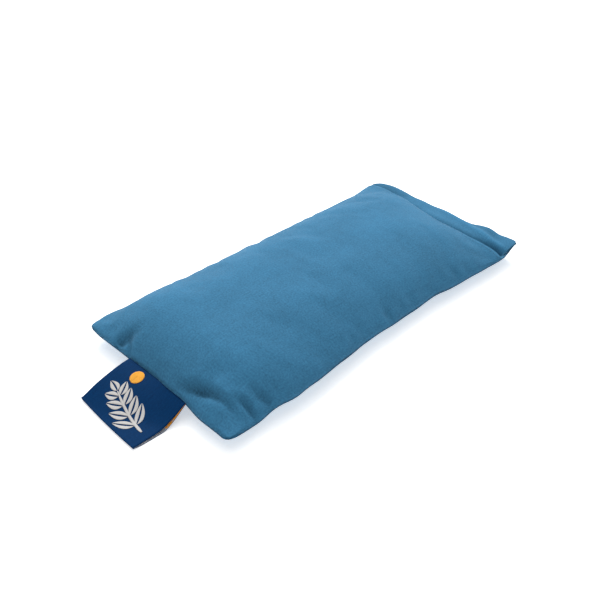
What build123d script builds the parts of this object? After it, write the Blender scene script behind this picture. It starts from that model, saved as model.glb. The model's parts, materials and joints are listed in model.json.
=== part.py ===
from build123d import *
import os
from math import ceil

# Eye pillow, millimetres, +Z up.
# The origin is the centre of the cover's underside. +X runs along the pillow to the end that opens,
# so the label hangs from the -X end, and +Y is the left long side seen from the label.

# Cover
cover_length = 220.0
cover_width = 105.0
cover_height = 25.0
seam_height = 8.0
cover_cloth = 0.6
seam_edge = 1.2
underside_rise_run = 14.0
near_end_crown_run = 38.0
hem_setback = 22.0

# Closure flap: the underside's cloth turned up over the end and tucked in under the top hem
flap_tuck = 16.0
flap_hem_flat = 6.0
flap_hem_drop = 4.0
flap_clearance = 0.6
flap_side_clearance = 1.0
fold_gap = 0.3
end_fold_depth = 1.7

# Inner pouch and its filling
pouch_cloth = 0.5
pouch_side_slack = 5.0
pouch_near_slack = 2.4
pouch_end_slack = 26.0
pouch_share_under_flap = 0.35
slide_clearance = 0.3
filling_clearance = 0.2

# Loop label
label_width = 39.2
label_reach = 25.2
label_cloth = 0.4
label_root_gap = 0.6
label_root_half = 0.45
label_fold_radius = 0.9
label_upper_bow = 1.2
label_lower_bow = 2.4
label_sewn_together = 3.0
label_offset = -2.2

# Sewing thread
thread = 0.25
thread_gap = 0.05
stitch_length = 2.8
stitch_pitch = 4.2
hem_stitch_inset = 3.0
stitch_end_margin = 6.0

# Places that follow from the sizes above
half_length = cover_length / 2
half_width = cover_width / 2
near_end = -half_length
far_end = half_length
mouth = far_end - hem_setback
floor_end = far_end - end_fold_depth - fold_gap
tuck_edge = mouth - flap_tuck
pouch_end_crown_run = (far_end - pouch_end_slack - tuck_edge) / pouch_share_under_flap
long_reach = 2 * cover_length


def crowned_section(half_span, top, floor, edge):
    """Cross-section of a filled bag: a crown above the side seams and a flat underside below them."""
    upper = seam_height + edge / 2
    lower = seam_height - edge / 2
    flat = half_span - underside_rise_run
    crown = top - upper
    rise = 0.42 * half_span
    right_top = Bezier((half_span, upper), (half_span - rise / 2, top - 0.35 * crown), (rise, top), (0, top))
    left_top = Bezier((0, top), (-rise, top), (rise / 2 - half_span, top - 0.35 * crown), (-half_span, upper))
    left_side = Line((-half_span, upper), (-half_span, lower))
    left_low = Bezier((-half_span, lower), (-(flat + underside_rise_run / 2), floor), (-flat, floor))
    base = Line((-flat, floor), (flat, floor))
    right_low = Bezier((flat, floor), (flat + underside_rise_run / 2, floor), (half_span, lower))
    right_side = Line((half_span, lower), (half_span, upper))
    outline = [right_top, left_top, left_side, left_low, base, right_low, right_side]
    return Plane.YZ * make_face(Curve() + outline)


def open_profile(near, far, top, floor, edge):
    """Lengthwise profile of a bag that is closed at its near end and open at its far end."""
    upper = seam_height + edge / 2
    lower = seam_height - edge / 2
    crown_start = near + near_end_crown_run
    flat_start = near + underside_rise_run
    near_top = Bezier((near, upper), (near + 0.45 * near_end_crown_run, top), (crown_start, top))
    top_line = Line((crown_start, top), (far, top))
    far_line = Line((far, top), (far, floor))
    base = Line((far, floor), (flat_start, floor))
    near_low = Bezier((flat_start, floor), (near + underside_rise_run / 2, floor), (near, lower))
    near_side = Line((near, lower), (near, upper))
    return Plane.XZ * make_face(Curve() + [near_top, top_line, far_line, base, near_low, near_side])


def closed_profile(near, far, top, floor, edge):
    """Lengthwise profile of a bag that is closed at both ends."""
    upper = seam_height + edge / 2
    lower = seam_height - edge / 2
    near_crown = near + near_end_crown_run
    far_crown = far - pouch_end_crown_run
    near_flat = near + underside_rise_run
    far_flat = far - underside_rise_run
    near_top = Bezier((near, upper), (near + 0.45 * near_end_crown_run, top), (near_crown, top))
    top_line = Line((near_crown, top), (far_crown, top))
    far_top = Bezier((far_crown, top), (far - 0.4 * pouch_end_crown_run, top), (far, upper))
    far_side = Line((far, upper), (far, lower))
    far_low = Bezier((far, lower), (far - underside_rise_run / 2, floor), (far_flat, floor))
    base = Line((far_flat, floor), (near_flat, floor))
    near_low = Bezier((near_flat, floor), (near + underside_rise_run / 2, floor), (near, lower))
    near_side = Line((near, lower), (near, upper))
    outline = [near_top, top_line, far_top, far_side, far_low, base, near_low, near_side]
    return Plane.XZ * make_face(Curve() + outline)


def flap_profile(top, end, floor, edge):
    """Lengthwise profile of the space under the closure flap."""
    flat_end = tuck_edge + flap_hem_flat
    upper = seam_height + edge / 2
    tuck = Line((tuck_edge, floor), (tuck_edge, top))
    under_hem = Line((tuck_edge, top), (flat_end, top))
    slope = Line((flat_end, top), (mouth, top - flap_hem_drop))
    over_end = Bezier((mouth, top - flap_hem_drop), (end - 4, top - 2 * flap_hem_drop), (end, upper))
    end_wall = Line((end, upper), (end, floor + end_fold_depth))
    fold = Line((end, floor + end_fold_depth), (end - end_fold_depth, floor))
    base = Line((end - end_fold_depth, floor), (tuck_edge, floor))
    return Plane.XZ * make_face(Curve() + [tuck, under_hem, slope, over_end, end_wall, fold, base])


def bag(section, profile):
    """Solid whose cross-section and lengthwise profile are the two faces."""
    along = extrude(section, amount=long_reach, both=True)
    across = extrude(profile, amount=long_reach, both=True)
    return along & across


def span_box(low, high):
    """Box between two corners."""
    size = [b - a for a, b in zip(low, high)]
    middle = [(a + b) / 2 for a, b in zip(low, high)]
    return Pos(*middle) * Box(*size)


def above(height):
    """Everything over a height."""
    return span_box((-long_reach, -long_reach, height), (long_reach, long_reach, long_reach))


def below(height):
    """Everything under a height."""
    return span_box((-long_reach, -long_reach, -long_reach), (long_reach, long_reach, height))


def stitch(centre, direction, normal):
    """One stitch lying on cloth whose surface passes through the centre point."""
    lift = thread_gap + thread / 2
    place = Plane(origin=centre + normal * lift, x_dir=direction, z_dir=normal)
    return place * Box(stitch_length, thread, thread)


def straight_row(start, end, normal):
    """A row of stitches along a straight seam."""
    run = Vector(*end) - Vector(*start)
    direction = run.normalized()
    count = int(run.length // stitch_pitch)
    margin = (run.length - (count - 1) * stitch_pitch) / 2
    places = [Vector(*start) + direction * (margin + i * stitch_pitch) for i in range(count)]
    return [stitch(place, direction, Vector(*normal)) for place in places]


def crown_row(section, x):
    """A row of stitches across the crown of a section, at one place along the pillow."""
    crowned = [edge for edge in section.edges() if edge.center().Z > seam_height + seam_edge]
    stitches = []
    for edge in crowned:
        count = ceil(edge.length / stitch_pitch) - 2
        for i in range(count):
            share = ((i + 1.5) * stitch_pitch) / edge.length
            if share < 0.97:
                direction = edge.tangent_at(share)
                outward = direction.cross(Vector(1, 0, 0))
                outward = outward if outward.Z > 0 else outward * -1
                point = edge.position_at(share) + Vector(x, 0, 0)
                stitches.append(stitch(point, direction, outward))
    return stitches


def save(name, shape):
    """Write one node, which is one solid or a list of stitches."""
    whole = Compound(children=shape) if isinstance(shape, list) else shape
    export_step(whole, f"parts/{name}.step")


# Sections that several pieces share
top_inside = cover_height - cover_cloth
cavity_half = half_width - 1.4 * cover_cloth
cavity_near = near_end + 1.4 * cover_cloth
flap_half = cavity_half - flap_side_clearance
flap_top = top_inside - flap_clearance
cover_section = crowned_section(half_width, cover_height, 0, seam_edge)
cavity_section = crowned_section(cavity_half, top_inside, cover_cloth, seam_edge / 2)
flap_section = crowned_section(flap_half, flap_top, 0, seam_edge)


def cover_shell(far):
    """The cover's cloth out to one place along the pillow, with both panels in one."""
    outside = bag(cover_section, open_profile(near_end, far, cover_height, 0, seam_edge))
    room = open_profile(cavity_near, far + 1, top_inside, cover_cloth, seam_edge / 2)
    return outside - bag(cavity_section, room)


def cover_top_panel():
    """Upper panel, from the near seam to its hem at the mouth."""
    return cover_shell(mouth) & above(seam_height)


def cover_bottom_panel():
    """Lower panel, from the near seam to the fold at the far end."""
    return cover_shell(floor_end) & below(seam_height)


def closure_flap():
    """Cloth turned up over the far end and tucked in under the top hem."""
    outer = bag(flap_section, flap_profile(flap_top, far_end, 0, seam_edge))
    room_section = crowned_section(flap_half - cover_cloth, flap_top - cover_cloth, -1, seam_edge / 2)
    room = flap_profile(flap_top - cover_cloth, far_end - cover_cloth, cover_cloth, seam_edge)
    over_bottom_panel = span_box(
        (tuck_edge - flap_tuck, -half_width, -1),
        (floor_end + fold_gap, half_width, seam_height + fold_gap),
    )
    return outer - bag(room_section, room) - over_bottom_panel


def pouch_body(inset):
    """The inner pouch's shape, drawn in all round by an inset."""
    half = cavity_half - pouch_side_slack - inset
    top = top_inside - slide_clearance - inset
    floor = cover_cloth + slide_clearance + inset
    near = cavity_near + pouch_near_slack + inset
    far = far_end - pouch_end_slack - inset
    edge = seam_edge if inset == 0 else seam_edge / 2
    return bag(crowned_section(half, top, floor, edge), closed_profile(near, far, top, floor, edge))


def pouch_shell():
    """The inner pouch's cloth, with both halves in one."""
    return pouch_body(0) - pouch_body(pouch_cloth)


def label_loop():
    """Woven label folded in half, with both its ends caught at the near seam."""
    root = Vector(near_end - label_root_gap, seam_height)
    fold = Vector(near_end - label_reach + label_fold_radius, label_fold_radius)
    along = (root - fold).normalized()
    up = Vector(-along.Y, along.X)
    middle = (root + fold) * 0.5

    def ring(start_top, start_bottom, bow_top, bow_bottom, radius):
        """Outline from the root round the fold and back."""
        upper = Bezier(start_top, middle + up * bow_top, fold + up * radius)
        turn = ThreePointArc(fold + up * radius, fold - along * radius, fold - up * radius)
        lower = Bezier(fold - up * radius, middle - up * bow_bottom, start_bottom)
        sides = [upper, turn, lower]
        if (start_top - start_bottom).length > 0:
            sides.append(Line(start_bottom, start_top))
        return Plane.XZ * make_face(Curve() + sides)

    half = up * label_root_half
    meeting = root - along * label_sewn_together
    outside = ring(root + half, root - half, label_upper_bow, label_lower_bow, label_fold_radius)
    inside = ring(
        meeting,
        meeting,
        label_upper_bow - label_cloth,
        label_lower_bow - label_cloth,
        label_fold_radius - label_cloth,
    )
    loop = extrude(outside - inside, amount=label_width / 2, both=True)
    return Pos(0, label_offset, 0) * loop


def side_seam_thread(side):
    """Stitches along one long seam of the cover."""
    y = side * half_width
    start = (near_end + stitch_end_margin, y, seam_height)
    return straight_row(start, (mouth - stitch_end_margin, y, seam_height), (0, side, 0))


def end_seam_thread():
    """Stitches along the near seam, left out where the label comes through it."""
    stitches = []
    for side in (-1, 1):
        corner = (near_end, side * (half_width - stitch_end_margin), seam_height)
        beside_label = (near_end, label_offset + side * (label_width / 2 + stitch_length), seam_height)
        stitches += straight_row(corner, beside_label, (-1, 0, 0))
    return stitches


def pouch_seam_thread():
    """Stitches along both long seams of the inner pouch."""
    stitches = []
    for side in (-1, 1):
        y = side * (cavity_half - pouch_side_slack)
        start = (cavity_near + pouch_near_slack + stitch_end_margin, y, seam_height)
        end = (far_end - pouch_end_slack - stitch_end_margin, y, seam_height)
        stitches += straight_row(start, end, (0, side, 0))
    return stitches


def pouch_closing_thread():
    """Stitches that close the inner pouch across its far end, where it was filled."""
    x = far_end - pouch_end_slack
    y = cavity_half - pouch_side_slack - stitch_end_margin
    return straight_row((x, -y, seam_height), (x, y, seam_height), (1, 0, 0))


os.makedirs("parts", exist_ok=True)

save("cover_top_panel", cover_top_panel())
save("cover_bottom_panel", cover_bottom_panel())
save("side_seam_thread_left", side_seam_thread(1))
save("side_seam_thread_right", side_seam_thread(-1))
save("end_seam_thread", end_seam_thread())
save("top_hem_thread", crown_row(cover_section, mouth - hem_stitch_inset))

save("closure_flap", closure_flap())
save("flap_hem_thread", crown_row(flap_section, tuck_edge + hem_stitch_inset))

save("inner_pouch_top", pouch_shell() & above(seam_height))
save("inner_pouch_bottom", pouch_shell() & below(seam_height))
save("inner_pouch_seam_thread", pouch_seam_thread())
save("inner_pouch_closing_thread", pouch_closing_thread())
save("linseed_filling", pouch_body(pouch_cloth + filling_clearance))

save("loop_label", label_loop())
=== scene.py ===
"""Looks for a seed-filled eye pillow: cotton cover, envelope flap, inner pouch and woven loop label."""

import json
import logging
import math
from dataclasses import dataclass
from enum import Enum
from typing import Optional, Union

import bpy
import numpy as np
from mathutils import Matrix, Vector


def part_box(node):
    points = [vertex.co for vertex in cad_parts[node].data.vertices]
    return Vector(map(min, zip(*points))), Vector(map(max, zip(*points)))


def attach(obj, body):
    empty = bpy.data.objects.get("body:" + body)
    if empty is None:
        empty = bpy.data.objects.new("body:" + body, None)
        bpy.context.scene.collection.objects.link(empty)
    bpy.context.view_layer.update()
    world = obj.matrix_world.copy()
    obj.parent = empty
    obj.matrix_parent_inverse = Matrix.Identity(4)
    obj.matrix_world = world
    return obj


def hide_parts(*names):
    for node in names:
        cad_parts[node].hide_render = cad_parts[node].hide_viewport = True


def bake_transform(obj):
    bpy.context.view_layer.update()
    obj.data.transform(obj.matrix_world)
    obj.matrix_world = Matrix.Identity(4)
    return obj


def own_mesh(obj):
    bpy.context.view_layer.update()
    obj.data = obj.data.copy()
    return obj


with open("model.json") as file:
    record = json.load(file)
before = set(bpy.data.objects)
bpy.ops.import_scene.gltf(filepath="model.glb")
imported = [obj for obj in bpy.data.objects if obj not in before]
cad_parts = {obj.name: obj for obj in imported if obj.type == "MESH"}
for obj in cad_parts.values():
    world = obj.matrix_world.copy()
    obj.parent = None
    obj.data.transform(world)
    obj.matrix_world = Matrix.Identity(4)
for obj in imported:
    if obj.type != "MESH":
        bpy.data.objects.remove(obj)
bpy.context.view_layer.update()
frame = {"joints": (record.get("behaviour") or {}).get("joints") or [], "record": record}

MM = 0.001
LOG = logging.getLogger("eye_pillow")
Array = np.ndarray
Number = Union[float, Array]
Triple = tuple[float, float, float]
Object = bpy.types.Object
Material = bpy.types.Material


# ---------------------------------------------------------------- small maths


def smoothstep(low: float, high: float, value: Number) -> Number:
    """Rise smoothly from 0 at low to 1 at high, or fall where high is below low."""
    share = np.clip((value - low) / (high - low), 0.0, 1.0)
    return share * share * (3.0 - 2.0 * share)


def bell(distance: Number, width: float) -> Number:
    """Return a bell curve of the distance, 1 in the middle and 0.37 at one width."""
    return np.exp(-((distance / width) ** 2))


class Unevenness:
    """Smooth noise that is the same in every run, for lumps in the filling and slack in the cloth."""

    LATTICE = 64

    def __init__(self, seed: int, cell: float) -> None:
        """Draw the lattice for a seed, with lumps of a cell's size in millimetres."""
        self.cell = cell
        self.lattice = np.random.default_rng(seed).uniform(-1.0, 1.0, (self.LATTICE, self.LATTICE))

    def at(self, x: Number, y: Number) -> Number:
        """Read the noise.

        Args:
            x: places along the cloth in millimetres.
            y: places across it.

        Returns:
            Values from -1 to 1.
        """
        across = np.asarray(x, float) / self.cell + self.LATTICE / 2
        along = np.asarray(y, float) / self.cell + self.LATTICE / 2
        i, j = np.floor(across).astype(int), np.floor(along).astype(int)
        u, v = smoothstep(0, 1, across - i), smoothstep(0, 1, along - j)
        i0, i1 = i % self.LATTICE, (i + 1) % self.LATTICE
        j0, j1 = j % self.LATTICE, (j + 1) % self.LATTICE
        low = self.lattice[i0, j0] * (1 - u) + self.lattice[i1, j0] * u
        high = self.lattice[i0, j1] * (1 - u) + self.lattice[i1, j1] * u
        return low * (1 - v) + high * v


@dataclass(frozen=True)
class Crease:
    """A pulled fold in the cloth: a hollow that follows a short line, with soft shoulders."""

    route: tuple[tuple[float, float], ...]
    width: float
    depth: float

    def lift(self, x: Array, y: Array) -> Array:
        """Give the crease's height at places on the cloth.

        Args:
            x: places along the pillow in millimetres.
            y: places across it.

        Returns:
            Heights in millimetres, below zero in the hollow.
        """
        best, place = np.full(np.shape(x), np.inf), np.zeros(np.shape(x))
        count = len(self.route) - 1
        for index in range(count):
            (ax, ay), (bx, by) = self.route[index : index + 2]
            dx, dy = bx - ax, by - ay
            share = np.clip(((x - ax) * dx + (y - ay) * dy) / (dx * dx + dy * dy), 0.0, 1.0)
            distance = np.hypot(x - ax - share * dx, y - ay - share * dy)
            place = np.where(distance < best, (index + share) / count, place)
            best = np.minimum(distance, best)
        fade = 0.35 + 0.65 * np.sin(math.pi * place)
        return -self.depth * fade * (bell(best, self.width) - 0.3 * bell(best, 2.3 * self.width))


def spline_rows(keys: Array, count: int) -> Array:
    """Draw smooth lines through rows of key points.

    Args:
        keys: key points, rows by columns by 3.
        count: how many rows to return.

    Returns:
        The points of the lines, count by columns by 3.
    """
    padded = np.concatenate([2 * keys[:1] - keys[1:2], keys, 2 * keys[-1:] - keys[-2:-1]])
    places = np.linspace(0, len(keys) - 1, count)
    index = np.minimum(places.astype(int), len(keys) - 2)
    t = (places - index)[:, None, None]
    p0, p1, p2, p3 = (padded[index + k] for k in range(4))
    square = (2 * p0 - 5 * p1 + 4 * p2 - p3) * t * t
    cube = (3 * p1 - p0 - 3 * p2 + p3) * t ** 3
    return p1 + 0.5 * ((p2 - p0) * t + square + cube)


# ---------------------------------------------------------------- meshes


def quads(number: Array, flip: bool = False) -> Array:
    """Return the faces of a grid of point numbers, turned over if asked."""
    corners = [number[:-1, :-1], number[1:, :-1], number[1:, 1:], number[:-1, 1:]]
    return np.stack(corners[::-1] if flip else corners, axis=2).reshape(-1, 4)


def new_object(name: str, data: bpy.types.ID) -> Object:
    """Link a new object into the scene and return it."""
    made = bpy.data.objects.new(name, data)
    bpy.context.scene.collection.objects.link(made)
    return made


def new_mesh(name: str, points: Array, faces: Array) -> bpy.types.Mesh:
    """Build a smooth mesh from points in millimetres.

    Args:
        name: the mesh's name.
        points: n by 3.
        faces: the points' numbers, m by 4.

    Returns:
        The mesh, in metres.
    """
    mesh = bpy.data.meshes.new(name)
    mesh.from_pydata((points * MM).tolist(), [], faces.tolist())
    mesh.shade_smooth()
    return mesh


def joined(parts: list[Object]) -> Object:
    """Join objects into the first of them and return it."""
    if len(parts) > 1:
        with bpy.context.temp_override(active_object=parts[0], selected_editable_objects=parts):
            bpy.ops.object.join()
    return parts[0]


class Sheet:
    """A grid of points in millimetres that becomes one piece of cloth."""

    UV_NAME = "Cloth"
    RELIEF_NAME = "relief"

    def __init__(self, points: Array, relief: Optional[Array] = None, flip: bool = False) -> None:
        """Keep the grid.

        Args:
            points: rows by columns by 3.
            relief: how far each point is pushed out of the smooth shape, which the finish paints as highlight
                where raised and shade where hollow.
            flip: whether the outside is on the other side of the grid.
        """
        self.points = points
        self.relief = np.zeros(points.shape[:2]) if relief is None else relief
        self.flip = flip

    def cloth_coordinates(self) -> Array:
        """Measure the cloth: distances along its rows and columns in millimetres."""
        rows = np.linalg.norm(np.diff(self.points, axis=0), axis=2)
        columns = np.linalg.norm(np.diff(self.points, axis=1), axis=2)
        u = np.concatenate([np.zeros((1, self.points.shape[1])), np.cumsum(rows, axis=0)])
        v = np.concatenate([np.zeros((self.points.shape[0], 1)), np.cumsum(columns, axis=1)], axis=1)
        return np.stack([u, v - v[:, -1:] / 2], axis=2).reshape(-1, 2)

    def piece(self, name: str, thickness: float = 0.0, inner_slot: int = 0) -> Object:
        """Make the object, with cloth coordinates and relief on its mesh.

        Args:
            name: the piece's name.
            thickness: the cloth's thickness in millimetres, or 0 for a closed skin.
            inner_slot: how many material slots further on the inner face's finish is.

        Returns:
            The object.
        """
        faces = quads(np.arange(self.relief.size).reshape(self.relief.shape), self.flip)
        mesh = new_mesh(name, self.points.reshape(-1, 3), faces)
        cloth = self.cloth_coordinates()[faces.reshape(-1)]
        mesh.uv_layers.new(name=self.UV_NAME).data.foreach_set("uv", cloth.astype(np.float32).ravel())
        relief = mesh.attributes.new(self.RELIEF_NAME, "FLOAT", "POINT")
        relief.data.foreach_set("value", self.relief.reshape(-1).astype(np.float32))
        mesh.validate()
        made = new_object(name, mesh)
        if thickness > 0:
            solid = made.modifiers.new("cloth thickness", "SOLIDIFY")
            solid.thickness = thickness * MM
            solid.offset = -1
            solid.material_offset = inner_slot
        return made


@dataclass(frozen=True)
class StitchRow:
    """A run of lockstitches: short spun threads that lie in dimples along a seam."""

    pitch: float = 3.1
    length: float = 2.35
    radius: float = 0.2
    sides: int = 8
    jitter: float = 0.15
    sight: float = 0.6

    def stitch(self, centre: Array, along: Array, out: Array, length: float) -> Array:
        """Shape one stitch that dives into the cloth at both ends.

        Args:
            centre: its middle, in millimetres.
            along: unit direction of the seam.
            out: unit direction away from the cloth.
            length: its length.

        Returns:
            Its rings of points, from end to end.
        """
        profile = [(-0.5, 0.25, -1.1), (-0.42, 0.8, -0.45), (-0.2, 1.0, 0.0)]
        profile += [(-share, width, dip) for share, width, dip in profile[::-1]]
        turn = np.linspace(0, 2 * math.pi, self.sides, endpoint=False)
        ring = np.outer(np.cos(turn), np.cross(along, out)) + np.outer(np.sin(turn), out)
        middles = [centre + along * share * length + out * dip * self.radius for share, _, dip in profile]
        return np.concatenate([m + ring * self.radius * row[1] for m, row in zip(middles, profile)])

    def sew(self, name: str, path: Array, out: Triple, seed: int) -> Object:
        """Sew along a path.

        Args:
            name: the piece's name.
            path: points of the seam, n by 3, in millimetres.
            out: the direction away from the cloth.
            seed: which small unevenness the row has.

        Returns:
            One object with every stitch of the row.
        """
        place = np.concatenate([[0.0], np.cumsum(np.linalg.norm(np.diff(path, axis=0), axis=1))])
        middles = np.arange(self.pitch / 2, place[-1], self.pitch)
        changes = np.random.default_rng(seed).uniform(-self.jitter, self.jitter, len(middles))
        spots = middles[:, None] + (0.0, self.sight, -self.sight)
        spots = np.stack([np.interp(spots, place, path[:, k]) for k in range(3)], axis=2)
        rings = []
        for (centre, ahead, behind), change in zip(spots, changes):
            along = (ahead - behind) / np.linalg.norm(ahead - behind)
            away = np.array(out) - along * (np.array(out) @ along)
            rings.append(self.stitch(centre, along, away / np.linalg.norm(away), self.length + change))
        points = np.concatenate(rings)
        number = np.arange(len(points)).reshape(len(middles), -1, self.sides)
        number = np.concatenate([number, number[..., :1]], axis=2)
        faces = np.concatenate([quads(one.T) for one in number])
        return new_object(name, new_mesh(name, points, faces))


# ---------------------------------------------------------------- shader maths


class Wire:
    """One shader socket's value, so that shader maths reads as Python."""

    def __init__(self, shader: "Shader", socket: bpy.types.NodeSocket) -> None:
        """Wrap a socket of a shader."""
        self.shader = shader
        self.socket = socket

    def _join(self, operation: str, other: "Feed", reverse: bool = False) -> "Wire":
        """Add the node for one operation.

        Args:
            operation: the Math node's name for it.
            other: the other operand.
            reverse: whether the other operand comes first.

        Returns:
            The result.
        """
        first, second = (other, self) if reverse else (self, other)
        kinds = [w.socket.type for w in (first, second) if isinstance(w, Wire)]
        if "RGBA" in kinds:
            return self.shader.blend_colours(operation, first, second)
        if "VECTOR" in kinds:
            parts = [(w,) * 3 if isinstance(w, (int, float)) else w for w in (first, second)]
            return self.shader.node("ShaderNodeVectorMath", {"operation": operation}, dict(enumerate(parts)))
        return self.shader.math(operation, first, second)

    def __add__(self, other: "Feed") -> "Wire":
        """Add."""
        return self._join("ADD", other)

    def __radd__(self, other: "Feed") -> "Wire":
        """Add, the other way round."""
        return self._join("ADD", other, True)

    def __sub__(self, other: "Feed") -> "Wire":
        """Subtract."""
        return self._join("SUBTRACT", other)

    def __rsub__(self, other: "Feed") -> "Wire":
        """Subtract from the other."""
        return self._join("SUBTRACT", other, True)

    def __mul__(self, other: "Feed") -> "Wire":
        """Multiply."""
        return self._join("MULTIPLY", other)

    def __rmul__(self, other: "Feed") -> "Wire":
        """Multiply, the other way round."""
        return self._join("MULTIPLY", other, True)


Feed = Union[float, tuple, Wire]


class Shader:
    """One material and the nodes that feed its surface."""

    def __init__(self, name: str, **constants: Feed) -> None:
        """Start a material.

        Args:
            name: the material's name.
            constants: values set directly on the surface's sockets, with spaces written as underscores.
        """
        self.material = bpy.data.materials.new(name)
        self.material.use_nodes = True
        self.tree = self.material.node_tree
        self.surface = self.tree.nodes["Principled BSDF"]
        for key, value in constants.items():
            self.surface.inputs[key.replace("_", " ")].default_value = value

    def node(self, kind: str, settings: dict, inputs: dict, output: Union[int, str] = 0) -> Wire:
        """Add any node.

        Args:
            kind: the node's type.
            settings: its properties, set first.
            inputs: sockets by name or number, with a value or a wire for each.
            output: which output to return.

        Returns:
            The output.
        """
        made = self.tree.nodes.new(kind)
        for key, value in settings.items():
            setattr(made, key, value)
        for key, value in inputs.items():
            if isinstance(value, Wire):
                self.tree.links.new(value.socket, made.inputs[key])
            else:
                made.inputs[key].default_value = value
        return Wire(self, made.outputs[output])

    def blend_colours(self, operation: str, first: Feed, second: Feed, factor: Feed = 1.0) -> Wire:
        """Combine two colours with a Mix node.

        Args:
            operation: the blend, or MIX.
            first: one colour, or a number for a grey.
            second: the other.
            factor: how far to go to the second.

        Returns:
            The colour.
        """
        ends = [(w,) * 3 if isinstance(w, (int, float)) else w for w in (first, second)]
        ends = [w if isinstance(w, Wire) else (*w[:3], 1.0) for w in ends]
        settings = {"data_type": "RGBA", "blend_type": operation, "clamp_result": True}
        return self.node("ShaderNodeMix", settings, {0: factor, 6: ends[0], 7: ends[1]}, 2)

    def mix(self, factor: Feed, first: Feed, second: Feed) -> Wire:
        """Fade from the first colour to the second."""
        return self.blend_colours("MIX", first, second, factor)

    def math(self, operation: str, first: Feed, second: Feed = 0.0) -> Wire:
        """Add a Math node."""
        return self.node("ShaderNodeMath", {"operation": operation}, {0: first, 1: second})

    def ribs(self, place: Wire, pitch: float) -> Wire:
        """Return even waves along a coordinate, from 0 to 1, one for each pitch."""
        return self.math("SINE", place * (2 * math.pi / pitch)) * 0.5 + 0.5

    def cloth(self) -> tuple[Wire, Wire]:
        """Return the cloth's own two coordinates in millimetres, along and across."""
        uv = self.node("ShaderNodeUVMap", {"uv_map": Sheet.UV_NAME}, {})
        split = self.node("ShaderNodeSeparateXYZ", {}, {0: uv})
        return split, Wire(self, split.socket.node.outputs[1])

    def solid(self) -> Wire:
        """Return the place inside the object, for a finish that needs no cloth coordinates."""
        return self.node("ShaderNodeTexCoord", {}, {}, "Object")

    def at(self, x: Feed, y: Feed, z: Feed = 0.0) -> Wire:
        """Make a vector of three values."""
        return self.node("ShaderNodeCombineXYZ", {}, {0: x, 1: y, 2: z})

    def noise(self, place: Wire, scale: float, detail: float = 2.0, seed: float = 0.0) -> Wire:
        """Read noise from 0 to 1 at a place."""
        inputs = {"Vector": place, "W": seed, "Scale": scale, "Detail": detail}
        return self.node("ShaderNodeTexNoise", {"noise_dimensions": "4D"}, inputs)

    def feed(self, socket: str, value: Wire) -> None:
        """Link a varying value to the surface."""
        self.tree.links.new(value.socket, self.surface.inputs[socket])

    def tinted(self, colour: Triple, tone: Wire) -> Wire:
        """Return a colour, made lighter and darker by a tone around 1."""
        return self.mix(1.0, colour, colour) * self.at(tone, tone, tone)

    def bump(self, height: Wire, strength: float, distance: float) -> None:
        """Raise the surface's fine relief, of a distance in millimetres for a height of 1."""
        inputs = {"Strength": strength, "Distance": distance * MM, "Height": height}
        self.feed("Normal", self.node("ShaderNodeBump", {}, inputs))


# ---------------------------------------------------------------- finishes


@dataclass(frozen=True)
class CottonFinish:
    """Plain-woven cotton with slubs, a painted highlight on raised cloth and painted shade in folds and
    hollows.
    """

    name: str
    colour: Triple
    pitch: float = 0.46
    variation: float = 0.08
    painted_light_gain: float = 0.16
    roughness: float = 0.82

    def build(self) -> Material:
        """Make the material."""
        s = Shader(self.name, Sheen_Weight=0.04, Sheen_Roughness=0.5, Specular_IOR_Level=0.1)
        u, v = s.cloth()
        wander = s.noise(s.at(u * 0.09, v * 0.09), 1.0, 1.0, 3.0) * 1.2
        turn = 2 * math.pi / self.pitch
        weave = s.math("SINE", (u + wander) * turn) * s.math("SINE", (v + wander) * turn) * 0.5 + 0.5
        warp_slubs = s.noise(s.at(u * 0.10, v * 1.9), 1.0, 2.0, 1.0)
        weft_slubs = s.noise(s.at(u * 1.9, v * 0.10), 1.0, 2.0, 2.0)
        slubs = warp_slubs * 0.5 + weft_slubs * 0.5
        shade = (slubs - 0.5) * (self.variation * 6.0)
        mottling = ((0.035, 3.0, 5.0, 2.6), (1.1, 3.0, 8.0, 11.5), (0.22, 2.0, 6.0, 3.0))
        for scale, detail, seed, gain in mottling:
            spots = s.noise(s.at(u * scale, v * scale), 1.0, detail, seed)
            shade = shade + (spots - 0.5) * (self.variation * gain)
        relief = s.node("ShaderNodeAttribute", {"attribute_name": Sheet.RELIEF_NAME}, {}, "Fac")
        # Painted light: raised relief is painted lighter as a highlight, and folds and hollows are painted
        # darker as shade.
        raised = s.math("MAXIMUM", relief, 0.0) * self.painted_light_gain
        hollow = s.math("MAXIMUM", relief * -1.0, 0.0) * self.painted_light_gain
        tone = shade + (weave - 0.5) * 0.10 + 1.0 + raised - hollow
        s.feed("Base Color", s.tinted(self.colour, tone))
        s.feed("Roughness", self.roughness + (slubs - 0.5) * 0.18)
        s.bump(weave * 0.6 + slubs * 0.9, 0.55, 0.09)
        return s.material


@dataclass(frozen=True)
class ThreadFinish:
    """Spun sewing thread with a fine twist."""

    name: str
    colour: Triple

    def build(self) -> Material:
        """Make the material."""
        s = Shader(self.name, Roughness=0.6, Sheen_Weight=0.15, Specular_IOR_Level=0.35)
        place = s.solid()
        bands = {"Vector": place, "Scale": 900.0, "Distortion": 1.5}
        twist = s.node("ShaderNodeTexWave", {"bands_direction": "DIAGONAL"}, bands, "Fac")
        s.feed("Base Color", s.tinted(self.colour, twist * 0.25 + s.noise(place, 400.0) * 0.3 + 0.7))
        s.bump(twist, 0.4, 0.05)
        return s.material


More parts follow.
